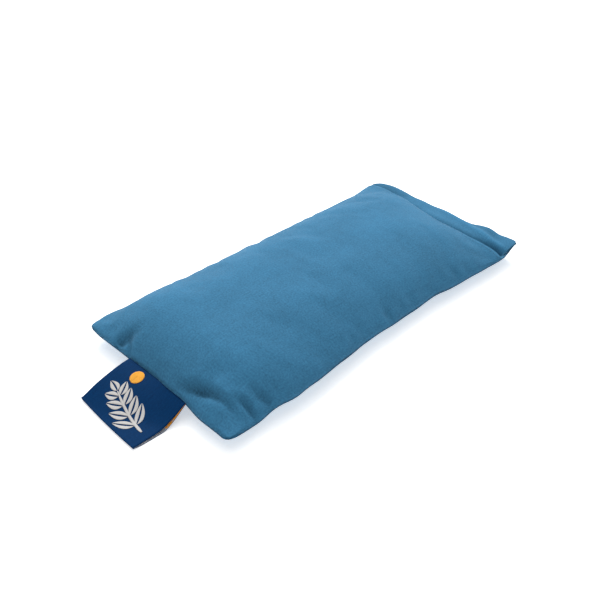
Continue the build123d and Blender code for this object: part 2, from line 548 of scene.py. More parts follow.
@dataclass(frozen=True)
class RibbonFinish:
    """Woven satin ribbon: close ribs, and on its wrong side loose floats and orange weft by the seam."""

    name: str
    colour: Triple
    float_colour: Triple = (0.55, 0.55, 0.56)
    float_share: float = 0.0
    weft_colour: Triple = (0.80, 0.33, 0.03)
    weft_from: float = 0.0

    def build(self) -> Material:
        """Make the material."""
        s = Shader(self.name, Sheen_Weight=0.0, Specular_IOR_Level=0.03)
        u, v = s.cloth()
        rib, twill = s.ribs(u, 0.34), s.ribs(u + v, 0.62)
        threads = s.noise(s.at(u * 0.2, v * 2.6), 1.0, 2.0, 4.0)
        fleck = s.noise(s.at(u * 1.3, v * 1.3), 1.0, 2.0, 5.0)
        tone = rib * 0.16 + twill * 0.12 + (threads - 0.5) * 0.7 + (fleck - 0.5) * 0.7 + 0.86
        base = s.tinted(self.colour, tone)
        if self.float_share > 0:
            loose = s.noise(s.at(u * 2.2, v * 0.5), 1.0, 1.0, 7.0)
            floats = s.math("GREATER_THAN", loose, 1 - self.float_share)
            base = s.mix(floats, base, self.float_colour)
        if self.weft_from > 0:
            near_seam = s.math("GREATER_THAN", u + threads * 3.0, self.weft_from)
            streaks = s.math("GREATER_THAN", s.noise(s.at(u * 0.4, v * 3.0), 1.0, 1.0, 9.0), 0.42)
            base = s.mix(near_seam * streaks, base, self.weft_colour)
        s.feed("Base Color", base)
        s.feed("Roughness", 0.62 + (twill * -0.12) + threads * 0.12)
        s.bump(rib * 0.7 + twill * 0.5 + threads * 0.4, 0.5, 0.07)
        return s.material


@dataclass(frozen=True)
class EmbroideryFinish:
    """Raised satin stitch in spun thread."""

    name: str
    colour: Triple

    def build(self) -> Material:
        """Make the material."""
        s = Shader(self.name, Sheen_Weight=0.1, Specular_IOR_Level=0.25)
        u, v = s.cloth()
        strand = s.ribs(v, 0.30)
        fleck = s.noise(s.at(u * 0.6, v * 3.0), 1.0, 2.0, 2.0)
        s.feed("Base Color", s.tinted(self.colour, strand * 0.16 + (fleck - 0.5) * 0.28 + 0.88))
        s.feed("Roughness", 0.5 + fleck * 0.2)
        s.bump(strand + fleck * 0.5, 0.6, 0.08)
        return s.material


@dataclass(frozen=True)
class SeedFinish:
    """Packed linseed: small glossy brown seeds with a few pale lavender buds."""

    name: str
    colour: Triple = (0.20, 0.085, 0.03)
    bud_colour: Triple = (0.28, 0.22, 0.34)
    bud_share: float = 0.07

    def build(self) -> Material:
        """Make the material."""
        s = Shader(self.name, Roughness=0.32, Specular_IOR_Level=0.5)
        seeds = {"Vector": s.solid(), "Scale": 420.0}
        cell = s.node("ShaderNodeTexVoronoi", {"feature": "F1"}, seeds, "Distance")
        tint = s.node("ShaderNodeTexVoronoi", {"feature": "F1"}, seeds, "Color")
        amount = s.node("ShaderNodeSeparateXYZ", {}, {0: tint})
        buds = s.math("GREATER_THAN", amount, 1 - self.bud_share)
        s.feed("Base Color", s.mix(buds, s.tinted(self.colour, amount * 0.7 + 0.65), self.bud_colour))
        s.bump(1.0 - cell, 0.9, 0.7)
        return s.material


class Slot(Enum):
    """The record's material slots."""

    COVER = "cover_cotton"
    COVER_THREAD = "cover_thread"
    POUCH = "pouch_cotton"
    POUCH_THREAD = "pouch_thread"
    SEEDS = "linseed"
    LABEL = "label_weave"


class Palette:
    """Every finish of the pillow, made once."""

    def __init__(self) -> None:
        """Make the finishes."""
        cover = CottonFinish("blue cotton", (0.033, 0.148, 0.270)).build()
        inside = CottonFinish("blue cotton wrong side", (0.044, 0.150, 0.25)).build()
        self.cover = (cover, inside)
        self.cover_thread = ThreadFinish("dark blue thread", (0.012, 0.05, 0.10)).build()
        self.hem_thread = ThreadFinish("blue hem thread", (0.036, 0.135, 0.24)).build()
        self.pouch = CottonFinish("undyed cotton", (0.54, 0.48, 0.37), pitch=0.62, variation=0.06).build()
        self.pouch_thread = ThreadFinish("natural thread", (0.66, 0.61, 0.51)).build()
        self.seeds = SeedFinish("linseed and lavender").build()
        back = RibbonFinish("navy ribbon wrong side", (0.30, 0.33, 0.38), float_share=0.45, weft_from=48.5)
        self.label = (RibbonFinish("navy ribbon", (0.0012, 0.027, 0.094)).build(), back.build())
        self.motif = EmbroideryFinish("off-white embroidery", (0.51, 0.495, 0.485)).build()
        self.dot = EmbroideryFinish("orange embroidery", (0.82, 0.36, 0.022)).build()


def seat(piece: Object, slot: Slot, body: Optional[str], node: Optional[str], *materials: Material) -> Object:
    """Dress a piece and tie it to the frame.

    Args:
        piece: the object.
        slot: the record's slot that its finishes stand for; not used.
        body: the body it rides on, or None to leave it on no body.
        node: the node it replaces, or None for an added piece.
        materials: its finishes, in order.

    Returns:
        The same object.
    """
    for material in materials:
        piece.data.materials.append(material)
    if body:
        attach(piece, body)
    if node:
        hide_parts(node)
    return piece


# ---------------------------------------------------------------- the filled bag's shape


class Corner(Enum):
    """The pillow's corners, as signs along X and Y."""

    NEAR_LEFT = (-1, 1)
    NEAR_RIGHT = (-1, -1)
    FAR_LEFT = (1, 1)
    FAR_RIGHT = (1, -1)


@dataclass(frozen=True)
class CornerPull:
    """How a corner's cloth is pulled: a shift and a lift, how far the lift reaches and the rounding."""

    corner: Corner
    shift: tuple[float, float]
    lift: float
    reach: float
    radius: float

    def rounded(self, x: Array, y: Array, edge_x: float, edge_y: Array) -> tuple[Array, Array]:
        """Round the corner off.

        Args:
            x: places along the bag.
            y: places across it.
            edge_x: where the short edge lies.
            edge_y: how far out the long edge lies, without a sign.

        Returns:
            The moved places.
        """
        sx, sy = self.corner.value
        p = np.clip(1 - (edge_x - x) * sx / self.radius, 0, 1.2)
        q = np.clip(1 - (edge_y - y * sy) / self.radius, 0, 1.2)
        x = x - sx * self.radius * p * (1 - np.sqrt(np.clip(1 - q * q / 2, 0, 1)))
        y = y - sy * self.radius * q * (1 - np.sqrt(np.clip(1 - p * p / 2, 0, 1)))
        return x, y


@dataclass
class BagForm:
    """The outer surface of the filled cover, in millimetres, read at any place."""

    near: float
    far: float
    half_width: float
    seam: float
    height: float
    hem: float
    crown_power: float = 3.4
    crown_ease: float = 0.90
    near_run: float = 42.0
    near_power: float = 3.0
    fall_run: float = 40.0
    fall_power: float = 2.0
    fall_share: float = 0.54
    end_run: float = 22.0
    near_pull: float = 0.9
    side_pull: float = 2.6
    right_waist: float = 1.8
    right_flare: tuple[float, float] = (3.3, 4.0)
    right_pinch: float = 2.6
    right_bulge: float = 1.5
    hem_skew: float = 15.0
    hem_flare: float = 4.5
    lip: float = 0.45
    pull_reach: float = 9.0
    pulls: tuple[CornerPull, ...] = (
        CornerPull(Corner.NEAR_LEFT, (1.1, -2.2), -0.2, 14.0, 5.0),
        CornerPull(Corner.NEAR_RIGHT, (-0.8, 1.0), -1.8, 33.0, 5.6),
        CornerPull(Corner.FAR_LEFT, (-0.6, -0.2), 2.1, 30.0, 7.0),
        CornerPull(Corner.FAR_RIGHT, (2.0, 0.4), 1.4, 14.0, 2.5),
    )
    creases: tuple[Crease, ...] = (
        Crease(((-110.5, 15.4), (-107.3, 19.3), (-103.2, 24.0)), 1.1, 2.0),
        Crease(((-111.0, 29.0), (-107.0, 26.2), (-101.5, 23.0)), 2.8, 3.2),
        Crease(((-106.5, -15.5), (-103.8, -23.5), (-101.9, -31.0), (-100.4, -41.5)), 1.8, 2.9),
        Crease(((-105.5, -22.0), (-101.5, -31.0)), 3.6, 1.1),
        Crease(((-97.0, -39.0), (-94.7, -45.0), (-94.3, -52.0)), 1.5, 2.0),
        Crease(((-89.9, -41.0), (-86.2, -47.1), (-84.0, -52.0)), 1.9, 1.7),
        Crease(((-64.0, 44.0), (-61.5, 51.5)), 2.2, 0.9),
        Crease(((-33.5, 43.0), (-31.0, 51.5)), 2.4, 1.0),
        Crease(((-6.0, 41.0), (-1.5, 51.5)), 2.8, 1.3),
        Crease(((41.0, 43.0), (44.0, 51.5)), 2.4, 1.0),
        Crease(((-3.0, -43.5), (-1.0, -51.5)), 2.4, 1.0),
        Crease(((52.0, -44.0), (56.0, -51.0)), 2.6, 0.9),
        Crease(((70.0, -36.0), (84.0, -47.0)), 4.2, 0.9),
    )
    settled: Optional["Settling"] = None

    def __post_init__(self) -> None:
        """Draw the noises that every surface of the bag shares."""
        self.lumps = Unevenness(11, 17.0)
        self.seeds = Unevenness(12, 6.5)
        self.puckers = Unevenness(13, 3.4)
        self.meander = Unevenness(14, 11.0)

    def side(self, x: Number) -> Number:
        """Half of the width at a place along the bag."""
        share = np.clip(np.abs(np.asarray(x, float) / self.far), 0, 1)
        return self.half_width - self.side_pull * (1 - share ** 8)

    def near_edge(self, t: Number) -> Number:
        """Where the near seam lies, at a share t of the half width."""
        return self.near + self.near_pull * (1 - np.asarray(t, float) ** 4)

    def hem_edge(self, t: Number) -> Number:
        """Where the upper panel's hem lies, at a share t of the half width."""
        left = self.hem_skew * smoothstep(-0.3, 1.0, t)
        return self.hem + left + self.hem_flare * smoothstep(-0.55, -1.0, t)

    def crown(self, t: Number) -> Number:
        """Share of the full height across the bag."""
        return np.clip(1 - np.abs(t) ** self.crown_power, 0, 1) ** self.crown_ease

    def rise(self, x: Number, t: Number) -> Number:
        """Share of the full height along the bag, from the near seam to the band at its far end."""
        back = np.clip(1 - (x - self.near_edge(t)) / self.near_run, 0, 1)
        drop = np.clip(1 - (self.hem_edge(t) - x) / self.fall_run, 0, 1.1) ** self.fall_power
        return np.clip(1 - back ** self.near_power, 0, 1) ** self.crown_ease * (1 - self.fall_share * drop)

    def smooth_top(self, x: Number, t: Number) -> Number:
        """Height of the bag's top before the cloth settles."""
        return self.seam + self.lip + (self.height - self.seam - self.lip) * self.crown(t) * self.rise(x, t)

    def smooth_base(self, x: Number, t: Number) -> Number:
        """Height of the bag's underside before the cloth settles."""
        side = np.clip(smoothstep(0.74, 1.04, np.abs(t)) * 1.02, 0, 1)
        near = np.clip(smoothstep(15.0, -1.0, x - self.near_edge(t)) * 1.02, 0, 1)
        far = smoothstep(self.far - 9.0, self.far + 7.0, x) * 0.2
        return (self.seam - self.lip) * np.clip(1 - (1 - side) * (1 - near) * (1 - far), 0, 1)

    def fine_relief(self, x: Array, y: Array, t: Array) -> Array:
        """Lumps of the filling, slack between them and puckers along the seams."""
        from_side, from_near = self.side(x) - np.abs(y), x - self.near_edge(t)
        lumps = 0.42 * self.lumps.at(x, y) + 0.10 * self.seeds.at(x, y)
        by_side, by_near = (np.exp(-np.clip(away, 0, None) / 4.0) for away in (from_side, from_near))
        side_puckers = self.puckers.at(x * 0.8, np.sign(y) * 40.0) * by_side
        near_puckers = self.puckers.at(y * 0.8, 90.0) * by_near
        edge = np.minimum(from_side, from_near)
        puckers = 0.60 * (side_puckers + near_puckers) * smoothstep(0.0, 1.2, edge)
        return lumps * smoothstep(0.0, 14.0, edge) + puckers

    def top(self, x: Array, t: Array) -> tuple[Array, Array]:
        """Finished height of the bag's top.

        Args:
            x: places along the bag.
            t: places across it, as a share of the half width.

        Returns:
            Heights, and the relief, which the finish paints as highlight and shade.
        """
        y = self.side(x) * t
        edge = np.minimum(self.side(x) - np.abs(y), x - self.near_edge(t))
        relief = sum((crease.lift(x, y) for crease in self.creases), self.fine_relief(x, y, t))
        relief = relief * smoothstep(0.0, 2.5, edge)
        height = self.smooth_top(x, t) + relief
        if self.settled is not None:
            height = height + self.settled.lift(x, y) * smoothstep(0.0, 4.0, edge)
        floor = self.seam + self.lip * smoothstep(1.0, 0.0, edge) + 0.35 * smoothstep(0.0, 2.0, edge)
        return np.maximum(height, floor), relief

    def shaped(self, points: Array) -> Array:
        """Pull the corners and let the seams wander, the same way for every surface of the bag.

        Args:
            points: any array of points, with 3 as its last size.

        Returns:
            The moved points.
        """
        x, y, z = points[..., 0], points[..., 1], points[..., 2]
        near_side = smoothstep(self.half_width - 9, self.half_width, np.abs(y))
        near_end = smoothstep(self.near + 9, self.near, x)
        near_flare, far_flare = self.right_flare
        flare = near_flare * smoothstep(20.0, 66.0, -x) + far_flare * smoothstep(20.0, 86.0, x)
        flare = flare - self.right_pinch * smoothstep(66.0, 90.0, -x)
        waist = self.right_waist - flare * smoothstep(self.far + 10, self.far - 14, x)
        y_shift = 0.8 * self.meander.at(x, np.sign(y) * 60) * near_side
        y_shift = y_shift + waist * smoothstep(0.0, -self.half_width, y)
        x_shift = (0.55 * self.meander.at(y, 110) - self.right_bulge * bell(y + 34.0, 9.0)) * near_end
        z_shift = 0.9 * self.meander.at(x + 7, np.sign(y) * 85) * near_side
        z_shift = z_shift + 0.6 * self.meander.at(y + 5, 130) * near_end * smoothstep(20, 30, np.abs(y))
        z_shift = z_shift * smoothstep(0.5, 5.0, z)
        ends = {-1: self.near, 1: self.far}
        for pull in self.pulls:
            x, y = pull.rounded(x, y, ends[pull.corner.value[0]], self.side(x))
        x, y, z = x + x_shift, y + y_shift, z + z_shift
        for pull in self.pulls:
            sx, sy = pull.corner.value
            away = np.hypot(points[..., 0] - ends[sx], points[..., 1] - sy * self.half_width)
            x = x + bell(away, self.pull_reach) * pull.shift[0]
            y = y + bell(away, self.pull_reach) * pull.shift[1]
            share = np.where(z < self.seam, z / self.seam, smoothstep(self.seam + 9, self.seam, z))
            z = z + pull.lift * smoothstep(pull.reach, 0.45 * pull.reach, away) * share
        return np.stack([x, y, z], axis=-1)

    def path(self, x: Number, y: Number, z: Number) -> Array:
        """Return the shaped points of a line along a seam, n by 3."""
        return self.shaped(np.stack(np.broadcast_arrays(x, y, z), axis=-1))


@dataclass
class Settling:
    """How cotton that is cut a little too large settles over its filling, found by cloth simulation."""

    form: BagForm
    pressure: float = 4.0
    slack: float = 0.03
    cap: float = 1.3
    rows: int = 84
    columns: int = 42
    frames: int = 20
    breadth: float = 8.0
    share: float = 0.55

    def __post_init__(self) -> None:
        """Run the simulation on a closed bag with its seams held, and keep only its wrinkles."""
        form = self.form
        self.xs = np.linspace(form.near, form.far, self.rows)
        self.ts = np.linspace(-1, 1, self.columns)
        x, t = np.meshgrid(self.xs, self.ts, indexing="ij")
        end = np.clip(1 - np.clip((x - form.far + form.end_run) / form.end_run, 0, 1) ** 3, 0, 1)
        rise = form.crown(t) * form.rise(x, t) * end
        top = form.seam + (form.height - form.seam) * rise
        base = form.seam - form.seam * np.sqrt(np.clip(rise, 0, 1)) * 0.9
        y = form.side(x) * t
        raw = self._run(np.stack([x, y, top], 2), np.stack([x, y, base], 2))
        self.moves = self.cap * np.tanh((raw - self._broad(raw)) * self.share / self.cap)

    def _broad(self, values: Array) -> Array:
        """Average the values over a neighbourhood, which leaves only their broad swell."""
        for axis in (0, 1):
            spots = np.arange(values.shape[axis])
            weights = bell(spots[:, None] - spots[None, :], self.breadth)
            weights = weights / weights.sum(axis=1, keepdims=True)
            values = np.moveaxis(np.tensordot(weights, values, axes=(1, axis)), 0, axis)
        return values

    def _run(self, top: Array, base: Array) -> Array:
        """Simulate the bag.

        Args:
            top: the points of its top, rows by columns by 3.
            base: the points of its underside.

        Returns:
            How far each point of the top moves up.
        """
        rows, columns = self.rows, self.columns
        number = np.arange(rows * columns).reshape(rows, columns)
        lower = number.copy()
        lower[1:-1, 1:-1] = rows * columns + np.arange((rows - 2) * (columns - 2)).reshape(rows - 2, -1)
        points = np.concatenate([top.reshape(-1, 3), base[1:-1, 1:-1].reshape(-1, 3)])
        mesh = new_mesh("settling bag", points, np.concatenate([quads(number), quads(lower, True)]))
        bag = new_object("settling_bag", mesh)
        border = np.unique(np.concatenate([number[0], number[-1], number[:, 0], number[:, -1]]))
        bag.vertex_groups.new(name="seams").add(border.tolist(), 1.0, "REPLACE")
        cloth = bag.modifiers.new("Cloth", "CLOTH")
        choices = {
            "quality": 5, "mass": 0.15, "tension_stiffness": 12, "compression_stiffness": 12,
            "shear_stiffness": 4, "bending_stiffness": 0.35, "use_pressure": True,
            "uniform_pressure_force": self.pressure, "shrink_min": -self.slack, "vertex_group_mass": "seams",
        }
        for key, value in choices.items():
            setattr(cloth.settings, key, value)
        cloth.settings.effector_weights.gravity = 0
        cloth.collision_settings.use_collision = False
        cloth.point_cache.frame_start, cloth.point_cache.frame_end = 1, self.frames
        scene = bpy.context.scene
        for step in range(1, self.frames + 1):
            scene.frame_set(step)
        settled = bag.evaluated_get(bpy.context.evaluated_depsgraph_get()).data
        moved = np.array([v.co for v in settled.vertices], float)[: rows * columns] / MM
        scene.frame_set(1)
        bpy.data.objects.remove(bag)
        bpy.data.meshes.remove(mesh)
        lift = (moved - top.reshape(-1, 3))[:, 2].reshape(rows, columns)
        LOG.info("settling: moved %.2f to %.2f mm", lift.min(), lift.max())
        return lift

    def lift(self, x: Array, y: Array) -> Array:
        """Read how far the cloth has moved up at places on the bag, smoothly between the points."""
        t = np.clip(y / self.form.side(x), -1, 1)
        i = np.clip((x - self.xs[0]) / (self.xs[1] - self.xs[0]), 0, self.rows - 1.001)
        j = np.clip((t + 1) / (self.ts[1] - self.ts[0]), 0, self.columns - 1.001)
        i0, j0 = np.floor(i).astype(int), np.floor(j).astype(int)
        total = np.zeros(np.shape(x))
        for a, wa in zip(range(-1, 3), self._weights(i - i0)):
            for b, wb in zip(range(-1, 3), self._weights(j - j0)):
                row, column = np.clip(i0 + a, 0, self.rows - 1), np.clip(j0 + b, 0, self.columns - 1)
                total = total + wa * wb * self.moves[row, column]
        return total

    @staticmethod
    def _weights(f: Array) -> list[Array]:
        """Weights of a smooth cubic between four neighbours."""
        rising = (-3 * f ** 3 + 3 * f ** 2 + 3 * f + 1) / 6
        return [(1 - f) ** 3 / 6, (3 * f ** 3 - 6 * f ** 2 + 4) / 6, rising, f ** 3 / 6]


def with_lips(
    points: Array, relief: Array, turn_in: float, drop: float, ends: tuple[bool, bool]
) -> tuple[Array, Array]:
    """Turn a sheet's edges in, as sewn edges are.

    Args:
        points: the sheet's grid.
        relief: its relief.
        turn_in: how far the turned edge reaches inwards.
        drop: how far it goes up, or down where negative, to the seam.
        ends: whether the first and the last row are turned in too.

    Returns:
        The grid and the relief with the extra rows and columns.
    """
    left, right = points[:, :1] + (0, turn_in, drop), points[:, -1:] + (0, -turn_in, drop)
    points = np.concatenate([left, points, right], axis=1)
    relief = np.concatenate([relief[:, :1], relief, relief[:, -1:]], axis=1)
    for first, wanted in zip((True, False), ends):
        if wanted:
            row = slice(0, 1) if first else slice(-1, None)
            edge = points[row] + (turn_in if first else -turn_in, 0, drop)
            edge[:, 0, 2], edge[:, -1, 2] = edge[:, 1, 2], edge[:, -2, 2]
            points = np.concatenate([edge, points] if first else [points, edge])
            relief = np.concatenate([relief[row], relief] if first else [relief, relief[row]])
    return points, relief


# ---------------------------------------------------------------- the cover


@dataclass
class Cover:
    """The blue cotton cover: two panels, their seams and the upper panel's folded hem."""

    form: BagForm
    palette: Palette
    cloth: float = 0.5
    grain: float = 1.15
    edge_turn: float = 0.8
    hem_fold: float = 0.75
    hem_depth: float = 11.0
    hem_stitch_inset: float = 2.2
    emptied_share: float = 0.2
    fill: float = 0.55
    stitches: StitchRow = StitchRow()
    fine_stitches: StitchRow = StitchRow(pitch=2.6, length=1.9, radius=0.11)

    def grid(self, rows: int, far: Number) -> tuple[Array, Array]:
        """Lay out places from the near seam to a far edge: along the bag, and shares of its half width."""
        t = np.linspace(-1, 1, int(2 * self.form.half_width / self.grain))
        share = np.linspace(0, 1, rows)[:, None]
        x = self.form.near_edge(t)[None, :] * (1 - share) + far * np.ones(len(t)) * share
        return x, np.broadcast_to(t, x.shape)

    def top_panel(self) -> Object:
        """Make the upper panel, out to its hem, which is folded under."""
        form = self.form
        t = np.linspace(-1, 1, int(2 * form.half_width / self.grain))
        x, t = self.grid(int((form.hem - form.near) / self.grain), form.hem_edge(t))
        z, relief = form.top(x, t)
        points, relief = self.folded_hem(np.stack([x, form.side(x) * t, z], axis=2), relief)
        points, relief = with_lips(points, relief, self.edge_turn, -form.lip, (True, False))
        piece = Sheet(form.shaped(points), relief).piece("cover_top", self.cloth, 1)
        seat(piece, Slot.COVER, "cover", "cover_top_panel", *self.palette.cover)
        self.empty_with_pouch(piece)
        return piece

    def folded_hem(self, points: Array, relief: Array) -> tuple[Array, Array]:
        """Fold the last rows under, round a small radius and back along the panel.

        Args:
            points: the panel's grid, ending at the hem.
            relief: its relief.

        Returns:
            The grid and relief with the fold and the turning, and a painted highlight added to the relief
            along the fold.
        """
        edge, ahead = points[-1], points[-1] - points[-3]
        ahead = ahead / np.linalg.norm(ahead, axis=1, keepdims=True)
        up = np.cross(ahead, np.gradient(edge, axis=0))
        up = up / np.linalg.norm(up, axis=1, keepdims=True)
        middle = edge - up * self.hem_fold
        turn = [up * math.cos(angle) + ahead * math.sin(angle) for angle in np.linspace(0, math.pi, 7)[1:]]
        rows = [middle + self.hem_fold * way for way in turn]
        under = int(self.hem_depth / self.grain)
        rows += [points[-1 - step] - up * 2 * self.hem_fold for step in range(1, under)]
        # Painted highlight: a lighter band along the hem's fold, added to the relief that the finish paints,
        # not to the shape.
        ridge = 0.5 * bell(np.arange(len(points))[::-1] * self.grain, 1.6)[:, None]
        extra = np.zeros((len(rows), points.shape[1]))
        return np.concatenate([points, np.stack(rows)]), np.concatenate([relief + ridge, extra])

    def bottom_panel(self) -> Object:
        """Make the lower panel, from the near seam to the fold at the far end."""
        form = self.form
        x, t = self.grid(int((form.far - form.near) / (1.3 * self.grain)), form.far - 0.8)
        y = form.side(x) * t
        lumps = 0.25 * form.lumps.at(x + 40, y) + 0.1 * form.seeds.at(x, y + 30)
        z = form.smooth_base(x, t)
        z = np.maximum(z + (lumps + 0.1) * smoothstep(0.3, 3.0, z), 0.0)
        points, relief = with_lips(np.stack([x, y, z], 2), lumps, self.edge_turn, form.lip, (True, False))
        piece = Sheet(form.shaped(points), relief, flip=True).piece("cover_bottom", self.cloth, 1)
        seat(piece, Slot.COVER, "cover", "cover_bottom_panel", *self.palette.cover)
        return piece

    def side_thread(self, side: int, name: str, node: str) -> Object:
        """Make the stitches that show in one long seam."""
        form = self.form
        x = np.linspace(form.near + 5, form.far - 3, 260)
        path = form.path(x, side * (form.side(x) - 0.22), form.seam)
        piece = self.stitches.sew(name, path, (0.0, side, 0.0), 20 + side)
        return seat(piece, Slot.COVER_THREAD, "cover", node, self.palette.cover_thread)

    def end_thread(self, label_y: tuple[float, float]) -> Object:
        """Make the stitches in the near seam, on both sides of the label, which has these two edges."""
        form = self.form
        runs = []
        for low, high in ((-form.half_width + 6, label_y[0] - 1.0), (label_y[1] + 1.0, form.half_width - 4)):
            y = np.linspace(low, high, 60)
            path = form.path(form.near_edge(y / form.half_width) + 0.22, y, form.seam)
            runs.append(self.stitches.sew("stitches_end", path, (-1.0, 0.0, 0.0), 31))
        return seat(joined(runs), Slot.COVER_THREAD, "cover", "end_seam_thread", self.palette.cover_thread)

    def hem_thread(self) -> Object:
        """Make the fine stitches that hold the folded hem, just inside its edge."""
        form = self.form
        t = np.linspace(-0.985, 0.985, 240)
        x = form.hem_edge(t) - self.hem_stitch_inset
        path = form.path(x, form.side(x) * t, form.top(x, t)[0] + 0.03)
        piece = self.fine_stitches.sew("stitches_hem", path, (0.0, 0.0, 1.0), 41)
        seat(piece, Slot.COVER_THREAD, "cover", "top_hem_thread", self.palette.hem_thread)
        self.empty_with_pouch(piece)
        return piece

    def empty_with_pouch(self, piece: Object) -> None:
        """Give a piece its own copy of its mesh."""
        seam = (0.0, 0.0, (self.form.seam + self.form.lip) * MM)
        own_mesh(piece)

    def build(self, label_y: tuple[float, float]) -> list[Object]:
        """Make the panels and their seams, around a label with these two edges."""
        made = [self.top_panel(), self.bottom_panel()]
        for side, name in ((1, "left"), (-1, "right")):
            made.append(self.side_thread(side, f"stitches_{name}", f"side_seam_thread_{name}"))
        return [*made, self.end_thread(label_y), self.hem_thread()]


@dataclass
class ClosureFlap:
    """The lower panel's cloth, turned up over the far end and tucked in under the hem."""

    form: BagForm
    palette: Palette
    pivot: Vector
    open_angle: float
    cloth: float = 0.5
    tuck: float = 14.0
    tucked_share: float = 0.978
    grain: float = 1.1
    under_hem: float = 2.1
    rows: int = 62
    hump_y: float = -33.5
    flat_share: float = 0.03
    stitches: StitchRow = StitchRow(pitch=2.6, length=1.9, radius=0.11)

    def surface(self) -> tuple[Array, Array]:
        """Work out the flap's outer surface.

        Returns:
            The grid of points, from the bottom fold to the tucked edge, and its relief.
        """
        form, end, seam, rim = self.form, self.form.far, self.form.seam, self.form.lip
        t = np.linspace(-1, 1, int(2 * form.half_width / self.grain))
        crown, hem = form.crown(t), form.hem_edge(t)
        low = np.clip(1 - smoothstep(0.74, 1.0, np.abs(t)), 0, 1)
        half, hem_half = form.side(end) * t, form.side(hem) * t
        left = 1.3 * smoothstep(0.0, 0.6, t) * (1 - t ** 8)
        under = form.top(hem, t)[0] - self.under_hem
        deep = form.top(hem - self.tuck, t)[0] - self.under_hem + 0.6
        keys = [
            (end - 1.4 + 0 * t, half, (seam - rim) - (seam - rim - 0.75) * low),
            (end + 0.2 + 0 * t, half, (seam - 0.2) - (seam - 4.0) * low),
            (end + 0.3 + 0 * t, half, seam + rim - 0.3 * low + 2.0 * crown + left),
            (end - 0.17 * (end - hem), half, seam + rim + 3.9 * crown + left),
            (end - 0.55 * (end - hem), hem_half, seam + rim + 4.8 * crown),
            (hem + 1.2, hem_half * self.tucked_share, np.maximum(under - 0.4, seam + 0.2)),
            (hem - 4.0, hem_half * self.tucked_share, np.maximum(under + 0.2, seam + 0.2)),
            (hem - self.tuck, hem_half * self.tucked_share, np.maximum(deep, seam + 0.2)),
        ]
        return self.folds(spline_rows(np.stack([np.stack(key, axis=1) for key in keys]), self.rows))

    def folds(self, points: Array) -> tuple[Array, Array]:
        """Add the groove behind the hem, the slack fold beside it and the raised corner."""
        form = self.form
        x, y, z = points[..., 0], points[..., 1], points[..., 2]
        t = y / form.half_width
        hem = form.hem_edge(t)
        out = smoothstep(0.0, 2.5, x - hem)
        middle = smoothstep(1.0, 0.9, np.abs(t))
        right = smoothstep(14.0, -30.0, y)
        groove = -3.0 * bell(x - hem - 3.0, 3.2) * (0.35 + 0.65 * right) * out * middle
        ridge_x = np.interp(y, [-48.0, -42.0, -28.0, -6.0, 20.0], [98.5, 99.5, 101.5, 107.5, 112.0])
        ridge = 1.2 * bell(x - ridge_x, 2.6) * smoothstep(12.0, -8.0, y) * out * middle
        dip = -1.1 * bell(x - ridge_x - 5.0, 3.0) * bell(y + 30.0, 12.0) * out
        hump = 1.9 * bell(y - self.hump_y, 8.5) * bell(x - form.far, 7.5) * smoothstep(4.0, 9.0, z)
        slack = (0.35 * form.lumps.at(x * 1.6, y * 1.6) + 0.18 * form.seeds.at(x, y)) * out * middle
        relief = groove + ridge + dip + slack
        bulge = 1.0 * bell(y - self.hump_y, 9.0) * bell(x - form.far, 6.0)
        return np.stack([x + bulge, y, z + relief + hump], axis=2), relief

    def build(self) -> list[Object]:
        """Make the flap and the stitches along its tucked edge."""
        surface, relief = self.surface()
        points, relief = with_lips(surface, relief, 0.8, 0.0, (False, False))
        piece = Sheet(self.form.shaped(points), relief, flip=True).piece("flap_cloth", self.cloth, 1)
        seat(piece, Slot.COVER, "flap", "closure_flap", *self.palette.cover)
        length = float(np.linalg.norm(np.diff(points, axis=0), axis=2).sum(axis=0).mean())
        flat = (2 * self.form.half_width * MM, length * MM)
        LOG.info("closure flap: %.1f by %.1f mm flat", flat[0] / MM, flat[1] / MM)
        path = self.form.shaped(surface[-4, 3:-3])
        thread = self.stitches.sew("flap_stitches", path, (0.2, 0.0, 1.0), 42)
        seat(thread, Slot.COVER_THREAD, "flap", "flap_hem_thread", self.palette.hem_thread)
        self.unroll(piece)
        self.unroll(thread)
        return [piece, thread]

    def unroll(self, piece: Object) -> None:
        """Give a piece its own copy of its mesh."""
        lean = math.pi - self.open_angle
        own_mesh(piece)


# ---------------------------------------------------------------- the inner pouch


